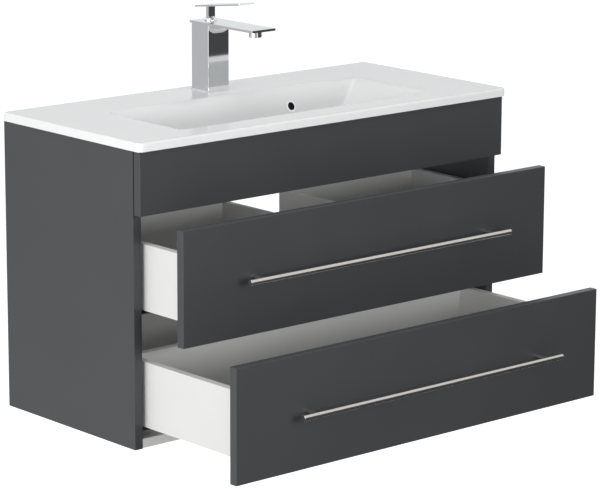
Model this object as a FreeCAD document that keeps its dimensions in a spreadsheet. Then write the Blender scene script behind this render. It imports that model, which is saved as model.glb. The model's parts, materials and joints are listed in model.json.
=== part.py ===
"""Wall-hung bathroom vanity: a two-drawer cabinet with its basin and single-lever tap.

Millimetres. +X runs to the right, +Y to the wall, +Z up. The origin is the centre of the
four wall screws, on the wall plane. Heights in the code are given above the cabinet's
underside, and place() lowers them by the height of the wall screws.
"""
import FreeCAD, Part
import os
import re

import Sketcher

os.makedirs("parts", exist_ok=True)
doc = FreeCAD.newDocument("vanity")
sheet = doc.addObject("Spreadsheet::Sheet", "Sizes")

SIZES = [
    # carcass
    ("cabinet_width", 1000.0),
    ("cabinet_depth", 432.0),
    ("cabinet_height", 610.0),
    ("board", 19.0),
    ("bottom_setback", 3.0),
    ("back_board", 16.0),
    ("back_inset", 19.0),
    ("back_panel_top", 290.0),
    ("rail_height", 80.0),
    ("dowel_radius", 4.0),
    ("dowel_length", 30.0),
    ("dowel_in_side", 10.0),
    ("dowel_end_gap", 1.0),
    ("dowel_edge", 16.0),
    ("bottom_dowel_inset", 60.0),
    ("fit_gap", 0.1),
    ("running_gap", 0.3),
    ("cut_over", 1.0),
    # wall fixing
    ("fixing_drop", 50.0),
    ("plate_width", 48.0),
    ("plate_sheet", 2.0),
    ("plate_joggle", 5.0),
    ("plate_lap", 16.0),
    ("plate_side_gap", 1.0),
    ("plate_below", 34.0),
    ("plate_above", 34.0),
    ("wall_screw_pitch", 32.0),
    ("wall_screw_hole", 3.0),
    ("hanger_width", 20.0),
    ("hanger_body_depth", 38.0),
    ("hanger_below", 24.0),
    ("hanger_above", 40.0),
    ("hook_width", 10.0),
    ("hook_drop", 10.0),
    ("hook_thick", 4.0),
    ("hook_root", 4.0),
    ("hook_end_gap", 1.0),
    ("hook_slot_gap", 1.0),
    ("hook_slot_head", 2.0),
    # fronts
    ("front_board", 19.0),
    ("front_reveal", 1.0),
    ("front_gap", 6.0),
    ("front_standoff", 2.0),
    ("front_edge", 1.0),
    ("fascia_height", 128.0),
    ("fascia_screw_radius", 2.0),
    ("fascia_screw_bite", 12.0),
    ("fascia_screw_pitch", 280.0),
    ("fascia_screw_drop", 30.0),
    ("upper_open", 134.0),
    ("lower_open", 294.0),
    # drawer boxes
    ("box_rise", 43.0),
    ("box_height", 135.5),
    ("box_back_gap", 29.0),
    ("box_board", 16.0),
    ("box_gap", 9.0),
    ("box_floor", 12.0),
    ("box_floor_rise", 13.0),
    ("pipe_space_width", 160.0),
    ("pipe_space_length", 220.0),
    ("pipe_wall", 12.0),
    # handles
    ("bar_length", 720.0),
    ("bar_radius", 6.5),
    ("bar_edge", 0.5),
    ("bar_standoff", 35.0),
    ("post_pitch", 640.0),
    ("post_radius", 5.0),
    ("handle_screw_radius", 2.0),
    ("handle_screw_bite", 12.0),
    ("handle_screw_head", 4.5),
    ("screw_head_thick", 2.5),
    # runners
    ("runner_back_gap", 45.0),
    ("runner_setback", 2.0),
    ("runner_sheet", 1.5),
    ("runner_width", 46.5),
    ("runner_drop", 7.0),
    ("runner_upstand", 22.0),
    ("runner_lip", 5.0),
    ("member_side_gap", 0.5),
    ("member_play", 1.5),
    ("drawer_member_height", 11.0),
    # basin
    ("basin_overhang", 5.0),
    ("basin_nose", 7.0),
    ("basin_slab", 18.0),
    ("basin_lift", 2.0),
    ("basin_corner", 12.0),
    ("basin_edge", 3.5),
    ("bowl_end_deck", 163.0),
    ("bowl_back", 149.0),
    ("bowl_front_deck", 66.0),
    ("bowl_depth", 105.0),
    ("bowl_side_lean", 105.0),
    ("bowl_back_lean", 40.0),
    ("bowl_front_lean", 28.0),
    ("bowl_wall", 12.0),
    ("bowl_corner", 18.0),
    ("bowl_rim", 7.0),
    ("pad_length", 30.0),
    ("pad_width", 12.0),
    ("pad_inset", 90.0),
    ("overflow_side", 142.0),
    ("overflow_drop", 40.0),
    ("overflow_hole", 9.0),
    ("overflow_ring", 13.0),
    ("overflow_depth", 16.0),
    ("overflow_lip", 1.2),
    ("overflow_dish", 0.5),
    ("overflow_sleeve", 1.4),
    ("overflow_sleeve_length", 8.0),
    ("overflow_seat", 1.5),
    ("overflow_start", 3.0),
    ("overflow_end", 8.0),
    # waste
    ("drain_shift", 6.5),
    ("drain_radius", 21.0),
    ("drain_gap", 0.5),
    ("waste_bore", 18.5),
    ("waste_flange", 32.0),
    ("waste_flange_thick", 2.5),
    ("flange_bevel", 1.0),
    ("flange_land", 2.0),
    ("flange_lead", 1.5),
    ("waste_thread_length", 34.0),
    ("waste_step", 4.0),
    ("tail_radius", 16.0),
    ("tail_bore", 14.5),
    ("tail_length", 30.0),
    ("waste_nut_radius", 29.0),
    ("waste_nut_height", 8.0),
    ("waste_seal_height", 4.0),
    ("plug_radius", 30.0),
    ("plug_thick", 4.0),
    ("plug_edge", 1.0),
    ("plug_crown", 8.0),
    ("plug_stem", 4.0),
    ("plug_stem_length", 30.0),
    ("plug_stem_show", 6.0),
    ("guide_bar", 5.0),
    ("guide_wall", 3.0),
    ("guide_height", 8.0),
    # tap
    ("tap_back", 62.7),
    ("column_width", 57.0),
    ("seal_height", 2.0),
    ("seal_margin", 1.0),
    ("spout_level", 145.0),
    ("spout_width", 65.0),
    ("spout_sheet", 5.0),
    ("spout_reach", 149.8),
    ("spout_overhang", 1.8),
    ("spout_edge", 0.875),
    ("throat_radius", 20.0),
    ("throat_width", 54.0),
    ("throat_belly", 42.4),
    ("throat_root", 2.0),
    ("throat_tail", 1.0),
    ("aerator_radius", 14.0),
    ("aerator_height", 14.0),
    ("aerator_bore", 10.5),
    ("aerator_bore_depth", 6.0),
    ("aerator_setback", 27.6),
    ("aerator_edge", 1.0),
    ("cartridge_radius", 17.0),
    ("cartridge_height", 40.0),
    ("spindle_radius", 5.0),
    ("spindle_root", 4.0),
    ("dome_radius", 13.5),
    ("dome_height", 10.0),
    ("dome_slot_back", 7.5),
    ("dome_slot_front", 5.7),
    ("lever_width", 43.0),
    ("lever_length", 150.0),
    ("lever_thick", 3.5),
    ("lever_edge", 0.875),
    ("lever_tilt", 7.1),
    ("lever_rear", 25.7),
    ("lever_level", 178.0),
    ("stem_width", 18.0),
    ("stem_depth", 9.0),
    ("stem_seat", 2.0),
    ("stem_back", 64.0),
    ("tap_hole_radius", 17.5),
    ("shank_radius", 16.0),
    ("shank_length", 57.0),
    ("shank_seat", 8.0),
    ("inlet_radius", 4.5),
    ("inlet_depth", 15.0),
    ("inlet_pitch", 16.0),
    ("tap_nut_radius", 24.0),
    ("tap_nut_height", 10.0),
]

for row, (alias, value) in enumerate(SIZES, start=1):
    sheet.set(f"A{row}", alias)
    sheet.set(f"B{row}", str(value))
    sheet.setAlias(f"B{row}", alias)
doc.recompute()

ALIASES = {alias for alias, value in SIZES}
X_AXIS = FreeCAD.Vector(1, 0, 0)
Y_AXIS = FreeCAD.Vector(0, 1, 0)
NO_TURN = FreeCAD.Rotation()
ALONG_X = FreeCAD.Rotation(Y_AXIS, 90)
TO_WALL = FreeCAD.Rotation(X_AXIS, -90)
Z_FROM_Y = FreeCAD.Rotation(X_AXIS, 90)
PIECES = {}
# how far off an edge may lie and still count as being on a face, and how far past the rim one may reach
EDGE_NEAR = 0.1
RIM_NEAR = 2.0

# places worked out from the sizes, as formulas of their aliases
INNER = "(cabinet_width/2 - board)"
FRONT_HALF = "(cabinet_width/2 - front_reveal)"
FRONT_HEIGHT = "((cabinet_height - fascia_height - 2*front_gap)/2)"
CLOSED_BACK = "(cabinet_depth + front_standoff)"
BACK_FACE = "(back_inset + back_board)"
BOX_LENGTH = f"({CLOSED_BACK} - {BACK_FACE} - box_back_gap)"
RUNNER_LENGTH = f"(cabinet_depth - {BACK_FACE} - runner_setback - runner_back_gap)"
MEMBER_NEAR = "(box_gap + box_board + member_side_gap)"
MIDDLE_NEAR = f"({MEMBER_NEAR} + runner_sheet + member_play)"
MIDDLE_FAR = "(runner_width - runner_sheet - member_play)"
FIXING = "(cabinet_height - fixing_drop)"
PLATE_X = f"({INNER} - plate_width/2 - plate_side_gap)"
HOOK_X = f"({INNER} - hanger_width/2)"
BASIN_HALF = "(cabinet_width/2 + basin_overhang)"
BASIN_DEPTH = f"({CLOSED_BACK} + front_board + basin_nose)"
BASIN_UNDER = "(cabinet_height + basin_lift)"
BASIN_TOP = f"({BASIN_UNDER} + basin_slab)"
BOWL_FLOOR = f"({BASIN_TOP} - bowl_depth)"
BOWL_UNDER = f"({BOWL_FLOOR} - bowl_wall)"
BOWL_HALF = f"({BASIN_HALF} - bowl_end_deck)"
BOWL_FRONT = f"({BASIN_DEPTH} - bowl_front_deck)"
LEAN = "atan(bowl_back_lean/bowl_depth)"
OVERFLOW_Y = "(-bowl_back - overflow_drop*bowl_back_lean/bowl_depth)"
OVERFLOW_LEVEL = f"({BASIN_TOP} - overflow_drop)"
DRAIN_Y = f"(drain_shift - (bowl_back + bowl_back_lean + {BOWL_FRONT} - bowl_front_lean)/2)"
SPOUT_UNDER = f"({BASIN_TOP} + spout_level)"
SPOUT_TOP = f"({SPOUT_UNDER} + spout_sheet)"
COLUMN_FOOT = f"({BASIN_TOP} + seal_height)"
COLUMN_FRONT = "(tap_back + column_width/2)"


def formula(text):
    """The text with each alias written as a reference to the sheet."""
    return re.sub(r"\b[a-z]\w+\b", lambda m: f"Sizes.{m[0]}" if m[0] in ALIASES else m[0], text)


def number(text):
    """What a formula comes to now."""
    return float(sheet.evalExpression(formula(text)))


def bind(obj, name, text):
    """Tie one property of an object to a formula."""
    obj.setExpression(name, formula(str(text)))


def place(obj, x, y, level, turn=NO_TURN):
    """Put an object at x, y and a height above the cabinet's underside."""
    obj.Placement = FreeCAD.Placement(FreeCAD.Vector(), turn)
    bind(obj, "Placement.Base.x", x)
    bind(obj, "Placement.Base.y", y)
    bind(obj, "Placement.Base.z", f"{level} - {FIXING}")


def box(name, x, y, level, turn=NO_TURN):
    """A cuboid between pairs of formulas; name is its label."""
    obj = doc.addObject("Part::Box", name)
    bind(obj, "Length", f"({x[1]}) - ({x[0]})")
    bind(obj, "Width", f"({y[1]}) - ({y[0]})")
    bind(obj, "Height", f"({level[1]}) - ({level[0]})")
    place(obj, x[0], y[0], level[0], turn)
    return obj


def rod(name, radius, length, x, y, level, turn=NO_TURN):
    """A cylinder from a point, upwards unless it is turned."""
    obj = doc.addObject("Part::Cylinder", name)
    bind(obj, "Radius", radius)
    bind(obj, "Height", length)
    place(obj, x, y, level, turn)
    return obj


def joined(name, shapes):
    """The union of several objects as one solid."""
    obj = doc.addObject("Part::MultiFuse", name)
    obj.Shapes = shapes
    obj.Refine = True
    return obj


def cut(name, base, tools):
    """The base less one or several tools."""
    tool = tools[0]
    if len(tools) > 1:
        tool = doc.addObject("Part::Compound", f"{name}_tools")
        tool.Links = tools
    obj = doc.addObject("Part::Cut", name)
    obj.Base = base
    obj.Tool = tool
    return obj


def group(name, solids):
    """Separate identical solids kept as one node."""
    obj = doc.addObject("Part::Compound", name)
    obj.Links = solids
    return obj


def rounded(name, base, radius, wanted):
    """Fillet the edges that a test picks, given each edge's box and the whole box."""
    doc.recompute()
    whole = base.Shape.BoundBox
    size = number(radius)
    picked = [i for i, edge in enumerate(base.Shape.Edges, start=1) if wanted(edge.BoundBox, whole)]
    obj = doc.addObject("Part::Fillet", name)
    obj.Base = base
    obj.Edges = [(i, size, size) for i in picked]
    return obj


def piece(name, obj):
    """Keep an object as a sub-part of its own, written to a file of its name."""
    obj.Label = name
    PIECES[name] = obj
    return obj


def outline(body, role, points):
    """A closed sketch through formula pairs, on one of the body's own planes."""
    sketch = body.newObject("Sketcher::SketchObject", f"{body.Name}_sketch")
    plane = next(item for item in body.Origin.OriginFeatures if item.Role == role)
    sketch.AttachmentSupport = [(plane, "")]
    sketch.MapMode = "FlatFace"
    spots = [FreeCAD.Vector(number(u), number(v), 0) for u, v in points]
    for index, spot in enumerate(spots):
        sketch.addGeometry(Part.LineSegment(spot, spots[(index + 1) % len(spots)]))
    for index in range(len(spots)):
        following = (index + 1) % len(spots)
        sketch.addConstraint(Sketcher.Constraint("Coincident", index, 2, following, 1))
    for index, (u, v) in enumerate(points):
        for kind, text in (("DistanceX", u), ("DistanceY", v)):
            rule = sketch.addConstraint(Sketcher.Constraint(kind, index, 1, number(text)))
            bind(sketch, f"Constraints[{rule}]", text)
    return sketch


def padded(name, role, points, length, x, y, level):
    """A body padded from a section: YZ_Plane pads to +X, XZ_Plane pads to -Y."""
    body = doc.addObject("PartDesign::Body", name)
    sketch = outline(body, role, points)
    pad = body.newObject("PartDesign::Pad", f"{name}_pad")
    pad.Profile = sketch
    bind(pad, "Length", length)
    sketch.Visibility = False
    place(body, x, y, level)
    return body


def spun(name, points, x, y, level, turn=NO_TURN):
    """A body turned in full about +Z from a section given as radius and height."""
    body = doc.addObject("PartDesign::Body", name)
    sketch = outline(body, "XZ_Plane", points)
    spin = body.newObject("PartDesign::Revolution", f"{name}_spin")
    spin.Profile = sketch
    spin.ReferenceAxis = (sketch, ["V_Axis"])
    spin.Angle = 360
    sketch.Visibility = False
    place(body, x, y, level, turn)
    return body


def hexagon_nut(name, circumradius, height, bore, y, level):
    """A hexagon nut on the middle plane, from its lower face up."""
    blank = doc.addObject("Part::Prism", f"{name}_blank")
    blank.Polygon = 6
    bind(blank, "Circumradius", circumradius)
    bind(blank, "Height", height)
    place(blank, "0", y, level)
    hole = rod(f"{name}_hole", bore, f"{height} + 2*cut_over", "0", y, f"{level} - cut_over")
    return piece(name, cut(name, blank, [hole]))


# ---------------------------------------------------------------- carcass

def dowel_spots():
    """Each dowel's distance from the wall and height, two to each board end."""
    bottom = "board/2"
    rail_low = "cabinet_height - rail_height + dowel_edge"
    rail_high = "cabinet_height - dowel_edge"
    back = f"({BACK_FACE} - back_board/2)"
    front = "(cabinet_depth - board/2)"
    return {
        "bottom": [("bottom_dowel_inset", bottom), ("cabinet_depth - bottom_dowel_inset", bottom)],
        "back": [(back, "board + 2*dowel_edge"), (back, "back_panel_top - 2*dowel_edge")],
        "hanging": [(back, rail_low), (back, f"{rail_low} + 1.5*dowel_edge")],
        "front": [(front, rail_low), (front, rail_high)],
    }


def end_bores(name, spots):
    """Dowel bores in both ends of a board that spans the carcass."""
    bores = []
    deep = "dowel_length - dowel_in_side + dowel_end_gap"
    for index, (y, level) in enumerate(spots):
        for side, start in (("left", f"-{INNER}"), ("right", f"{INNER} - ({deep})")):
            label = f"{name}_bore_{side}_{index}"
            bores.append(rod(label, "dowel_radius + fit_gap", deep, start, f"-({y})", level, ALONG_X))
    return bores


def side_panel(side, sign):
    """A full-height side with its blind dowel bores."""
    edges = sorted((f"{sign}*{INNER}", f"{sign}*cabinet_width/2"), key=number)
    solid = box(f"side_{side}_board", edges, ("-cabinet_depth", "0"), ("0", "cabinet_height"))
    deep = "dowel_in_side + dowel_end_gap"
    start = INNER if sign == "1" else f"-{INNER} - ({deep})"
    bores = []
    for board, spots in dowel_spots().items():
        for index, (y, level) in enumerate(spots):
            label = f"side_{side}_{board}_{index}"
            bores.append(rod(label, "dowel_radius + fit_gap", deep, start, f"-({y})", level, ALONG_X))
    piece(f"side_panel_{side}", cut(f"side_panel_{side}", solid, bores))


def carcass():
    """Sides, bottom, back, the two top rails and the dowels between them."""
    spots = dowel_spots()
    across = (f"-{INNER}", INNER)
    rail_levels = ("cabinet_height - rail_height", "cabinet_height")
    at_back = (f"-{BACK_FACE}", "-back_inset")
    side_panel("left", "-1")
    side_panel("right", "1")

    bottom = box("bottom_board", across, ("bottom_setback - cabinet_depth", "0"), ("0", "board"))
    piece("bottom_panel", cut("bottom_panel", bottom, end_bores("bottom", spots["bottom"])))

    back = box("back_board_blank", across, at_back, ("board", "back_panel_top"))
    piece("back_panel", cut("back_panel", back, end_bores("back", spots["back"])))

    slots = []
    half = "(hook_width/2 + hook_slot_gap)"
    depth = (f"-{BACK_FACE} - cut_over", "cut_over - back_inset")
    height = (f"{FIXING} + plate_above", f"{FIXING} + plate_above + hook_thick + hook_slot_head")
    for side, sign in (("left", "-1"), ("right", "1")):
        edges = (f"{sign}*{HOOK_X} - {half}", f"{sign}*{HOOK_X} + {half}")
        slots.append(box(f"hook_slot_{side}", edges, depth, height))
    rail = box("hanging_board", across, at_back, rail_levels)
    bores = end_bores("hanging", spots["hanging"])
    piece("hanging_rail", cut("hanging_rail", rail, bores + slots))

    front = box("front_board_blank", across, ("-cabinet_depth", "board - cabinet_depth"), rail_levels)
    holes = []
    for index, x in enumerate(fascia_screw_places()):
        label = f"front_rail_hole_{index}"
        start = "-cabinet_depth - cut_over"
        level = "cabinet_height - fascia_screw_drop"
        deep = "board + 2*cut_over"
        holes.append(rod(label, "fascia_screw_radius + fit_gap", deep, x, start, level, TO_WALL))
    piece("front_rail", cut("front_rail", front, end_bores("front", spots["front"]) + holes))

    dowels = []
    for board, places in spots.items():
        for index, (y, level) in enumerate(places):
            for side, start in (("left", f"-{INNER} - dowel_in_side"),
                                ("right", f"{INNER} + dowel_in_side - dowel_length")):
                label = f"dowel_{board}_{index}_{side}"
                dowels.append(rod(label, "dowel_radius", "dowel_length", start, f"-({y})", level, ALONG_X))
    piece("carcass_dowels", group("carcass_dowels", dowels))


# ---------------------------------------------------------------- fronts and handles

def fascia_screw_places():
    """Where the four screws stand across the front rail."""
    return [f"{step}*fascia_screw_pitch" for step in ("-1.5", "-0.5", "0.5", "1.5")]


def screw(name, radius, head_radius, length, x, y, level):
    """A round-head screw that points to -Y, its head's seat at y."""
    turn = FreeCAD.Rotation(X_AXIS, 90)
    shank = rod(f"{name}_shank", radius, length, x, y, level, turn)
    head = rod(f"{name}_head", head_radius, "screw_head_thick", x, f"{y} + screw_head_thick", level, turn)
    return joined(name, [shank, head])


def front_blank(name, face, level, height):
    """A front board with softened edges, its face at -face."""
    blank = box(f"{name}_blank", (f"-{FRONT_HALF}", FRONT_HALF), (f"-({face})", f"front_board - ({face})"),
                (level, f"{level} + {height}"))
    return rounded(f"{name}_soft", blank, "front_edge",
                   lambda edge, whole: edge.YMax < whole.YMin + EDGE_NEAR)


def fascia():
    """The fixed blind in front of the basin, screwed on from behind."""
    face = f"{CLOSED_BACK} + front_board"
    level = "cabinet_height - fascia_height"
    blank = front_blank("fascia", face, f"({level})", "fascia_height")
    screw_level = "cabinet_height - fascia_screw_drop"
    holes = []
    screws = []
    length = "board + front_standoff + fascia_screw_bite"
    for index, x in enumerate(fascia_screw_places()):
        start = f"-{CLOSED_BACK} - fascia_screw_bite - cut_over"
        holes.append(rod(f"fascia_hole_{index}", "fascia_screw_radius + fit_gap",
                         "fascia_screw_bite + 2*cut_over", x, start, screw_level, TO_WALL))
        screws.append(screw(f"fascia_screw_{index}", "fascia_screw_radius", "handle_screw_head",
                            length, x, "board - cabinet_depth", screw_level))
    piece("fascia", cut("fascia", blank, holes))
    piece("fascia_screws", group("fascia_screws", screws))


def handle(drawer, face, level):
    """A bar on two posts, each held by a screw through the front."""
    bar_y = f"-({face}) - bar_standoff"
    bar = rod(f"{drawer}_bar_blank", "bar_radius", "bar_length", "-bar_length/2", bar_y, level, ALONG_X)
    ends = rounded(f"{drawer}_bar_soft", bar, "bar_edge", lambda edge, whole: edge.XLength < EDGE_NEAR)
    piece(f"{drawer}_handle_bar", ends)
    posts = []
    screws = []
    for side, sign in (("left", "-1"), ("right", "1")):
        x = f"{sign}*post_pitch/2"
        post = rod(f"{drawer}_post_{side}", "post_radius", "bar_standoff", x, bar_y, level, TO_WALL)
        saddle = rod(f"{drawer}_saddle_{side}", "bar_radius + fit_gap/2", "4*post_radius",
                     f"{x} - 2*post_radius", bar_y, level, ALONG_X)
        bore = rod(f"{drawer}_tap_{side}", "handle_screw_radius + fit_gap",
                   "handle_screw_bite + 2*cut_over", x, f"-({face}) - handle_screw_bite - cut_over", level,
                   TO_WALL)
        posts.append(cut(f"{drawer}_post_cut_{side}", post, [saddle, bore]))
        screws.append(screw(f"{drawer}_handle_screw_{side}", "handle_screw_radius", "handle_screw_head",
                            "front_board + handle_screw_bite", x, f"front_board - ({face})", level))
    piece(f"{drawer}_handle_posts", group(f"{drawer}_handle_posts", posts))
    piece(f"{drawer}_handle_screws", group(f"{drawer}_handle_screws", screws))


def drawer_front(drawer, face, level):
    """A drawer's front with the clearance holes of its handle screws."""
    blank = front_blank(drawer, face, level, FRONT_HEIGHT)
    holes = []
    for side, sign in (("left", "-1"), ("right", "1")):
        holes.append(rod(f"{drawer}_front_hole_{side}", "handle_screw_radius + fit_gap",
                         "front_board + 2*cut_over", f"{sign}*post_pitch/2", f"-({face}) - cut_over",
                         f"{level} + {FRONT_HEIGHT}/2", TO_WALL))
    piece(f"{drawer}_front", cut(f"{drawer}_front", blank, holes))


# ---------------------------------------------------------------- drawer boxes

def drawer_box(drawer, back_of_front, level, pipe_space):
    """Sides, back and floor; the upper box also walls off the space for the waste pipe."""
    outer = f"({INNER} - box_gap)"
    inner = f"({INNER} - box_gap - box_board)"
    run = (f"-({back_of_front})", f"{BOX_LENGTH} - ({back_of_front})")
    inside = (run[0], f"{run[1]} - box_board")
    heights = (level, f"{level} + box_height")
    walled = (f"{level} + box_floor_rise", heights[1])
    floor_levels = (f"{level} + box_floor_rise", f"{level} + box_floor_rise + box_floor")
    piece(f"{drawer}_side_left", box(f"{drawer}_side_left", (f"-{outer}", f"-{inner}"), run, heights))
    piece(f"{drawer}_side_right", box(f"{drawer}_side_right", (inner, outer), run, heights))
    back = (f"{run[1]} - box_board", run[1])
    floor = box(f"{drawer}_floor_blank", (f"-{inner}", inner), inside, floor_levels)
    if not pipe_space:
        piece(f"{drawer}_back", box(f"{drawer}_back", (f"-{inner}", inner), back, walled))
        piece(f"{drawer}_floor", floor)
        return
    wide = "(pipe_space_width/2 + pipe_wall)"
    near = f"({run[1]} - pipe_space_length)"
    piece(f"{drawer}_back_left", box(f"{drawer}_back_left", (f"-{inner}", f"-{wide}"), back, walled))
    piece(f"{drawer}_back_right", box(f"{drawer}_back_right", (wide, inner), back, walled))
    notch = box(f"{drawer}_floor_notch", (f"-{wide}", wide), (near, run[1]),
                (f"{level} - cut_over", f"{floor_levels[1]} + cut_over"))
    piece(f"{drawer}_floor", cut(f"{drawer}_floor", floor, [notch]))
    along = (near, run[1])
    piece("pipe_wall_left", box("pipe_wall_left", (f"-{wide}", "-pipe_space_width/2"), along, walled))
    piece("pipe_wall_right", box("pipe_wall_right", ("pipe_space_width/2", wide), along, walled))
    piece("pipe_wall_front", box("pipe_wall_front", ("-pipe_space_width/2", "pipe_space_width/2"),
                                 (near, f"{near} + pipe_wall"), walled))


def runner(drawer, side, sign, level, opening):
    """One concealed runner: the member on the cabinet, the middle one and the drawer's."""
    def section(points):
        """Points given as the distance from the side panel and the height above the box's underside."""
        return [(f"{sign}*({INNER} - ({depth}))", height) for depth, height in points]

    low = "-runner_drop"
    shelf = "runner_sheet - runner_drop"
    cabinet = section([("0", low), ("runner_width", low), ("runner_width", "runner_lip - runner_drop"),
                       ("runner_width - runner_sheet", "runner_lip - runner_drop"),
                       ("runner_width - runner_sheet", shelf), ("runner_sheet", shelf),
                       ("runner_sheet", "runner_upstand"), ("0", "runner_upstand")])
    foot = f"({shelf} + running_gap)"
    top = "(box_floor_rise - runner_sheet - running_gap)"
    near = MIDDLE_NEAR
    far = MIDDLE_FAR
    middle = section([(near, foot), (f"{near} + runner_sheet", foot),
                      (f"{near} + runner_sheet", f"{top} - runner_sheet"),
                      (f"{far} - runner_sheet", f"{top} - runner_sheet"),
                      (f"{far} - runner_sheet", foot), (far, foot), (far, top), (near, top)])
    near = MEMBER_NEAR
    far = "runner_width"
    base = "(box_floor_rise - drawer_member_height)"
    under = "(box_floor_rise - runner_sheet)"
    moving = section([(near, base), (f"{near} + runner_sheet", base), (f"{near} + runner_sheet", under),
                      (f"{far} - runner_sheet", under), (f"{far} - runner_sheet", base), (far, base),
                      (far, "box_floor_rise"), (near, "box_floor_rise")])
    rear = f"({RUNNER_LENGTH} + runner_setback - cabinet_depth)"
    members = (("cabinet", cabinet, rear), ("middle", middle, f"{rear} - {opening}/2"),
               ("drawer", moving, f"{rear} - front_standoff - {opening}"))
    for member, points, start in members:
        label = f"{drawer}_runner_{member}_{side}"
        piece(label, padded(label, "XZ_Plane", points, RUNNER_LENGTH, "0", start, level))


def drawer(name, opening, front_level, pipe_space):
    """A whole drawer, drawn out by its opening."""
    back_of_front = f"{CLOSED_BACK} + {opening}"
    face = f"{back_of_front} + front_board"
    box_level = f"({front_level} + box_rise)"
    drawer_front(name, face, front_level)
    handle(name, face, f"({front_level} + {FRONT_HEIGHT}/2)")
    drawer_box(name, back_of_front, box_level, pipe_space)
    for side, sign in (("left", "-1"), ("right", "1")):
        runner(name, side, sign, box_level, opening)


# ---------------------------------------------------------------- wall fixing

def hangers():
    """Two hangers on the sides, hooked over two plates that are screwed to the wall."""
    top = "plate_above"
    lap = f"{top} - plate_lap"
    plate = [("0", "-plate_below"), ("0", lap), ("-plate_joggle", lap), ("-plate_joggle", top),
             ("-plate_joggle - plate_sheet", top), ("-plate_joggle - plate_sheet", f"{lap} - plate_sheet"),
             ("-plate_sheet", f"{lap} - plate_sheet"), ("-plate_sheet", "-plate_below")]
    tip = "(running_gap - plate_joggle)"
    seat = f"({FIXING} + {top})"
    body_front = f"(-{BACK_FACE} - hanger_body_depth)"
    plates = []
    for side, sign in (("left", "-1"), ("right", "1")):
        blank = padded(f"wall_plate_{side}", "YZ_Plane", plate, "plate_width",
                       f"{sign}*{PLATE_X} - plate_width/2", "0", FIXING)
        holes = []
        for end, half in (("low", "-0.5"), ("high", "0.5")):
            holes.append(rod(f"wall_hole_{side}_{end}", "wall_screw_hole", "plate_sheet + 2*cut_over",
                             f"{sign}*{PLATE_X}", "-plate_sheet - cut_over",
                             f"{FIXING} + {half}*wall_screw_pitch", TO_WALL))
        plates.append(cut(f"wall_plate_drilled_{side}", blank, holes))

        edges = sorted((f"{sign}*({INNER} - hanger_width)", f"{sign}*{INNER}"), key=number)
        body = box(f"hanger_body_{side}", edges, (body_front, f"-{BACK_FACE}"),
                   (f"{FIXING} - hanger_below", f"{FIXING} + hanger_above"))
        hook_edges = (f"{sign}*{HOOK_X} - hook_width/2", f"{sign}*{HOOK_X} + hook_width/2")
        arm = box(f"hanger_arm_{side}", hook_edges, (f"-{BACK_FACE} - hook_root", "-hook_end_gap"),
                  (seat, f"{seat} + hook_thick"))
        hook = box(f"hanger_hook_{side}", hook_edges, (tip, "-hook_end_gap"),
                   (f"{seat} - hook_drop", f"{seat} + hook_thick"))
        piece(f"cabinet_hanger_{side}", joined(f"cabinet_hanger_{side}", [body, arm, hook]))
    piece("wall_plates", group("wall_plates", plates))


# ---------------------------------------------------------------- basin

def bowl_block(name, floor, top, margin):
    """A tapered block with the bowl's outline, widened by a margin."""
    block = doc.addObject("Part::Wedge", name)
    share = f"(({top}) - ({floor}))/bowl_depth"
    half = f"({BOWL_HALF} + {margin})"
    rim_gap = f"({BASIN_TOP} - ({top}))/bowl_depth"
    near = f"(bowl_back - {margin} + bowl_back_lean*{rim_gap})"
    far = f"({BOWL_FRONT} + {margin} - bowl_front_lean*{rim_gap})"
    wide = f"({half} - bowl_side_lean*{rim_gap})"
    bind(block, "Ymin", "0")
    bind(block, "Ymax", f"({top}) - ({floor})")
    bind(block, "X2min", f"-{wide}")
    bind(block, "X2max", wide)
    bind(block, "Z2min", near)
    bind(block, "Z2max", far)
    bind(block, "Xmin", f"bowl_side_lean*{share} - {wide}")
    bind(block, "Xmax", f"{wide} - bowl_side_lean*{share}")
    bind(block, "Zmin", f"{near} + bowl_back_lean*{share}")
    bind(block, "Zmax", f"{far} - bowl_front_lean*{share}")
    place(block, "0", "0", floor, Z_FROM_Y)
    return block


def off_the_top(edge, whole):
    """An edge of a block that doesn't lie all in its top face."""
    return edge.ZMin < whole.ZMax - EDGE_NEAR


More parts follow.
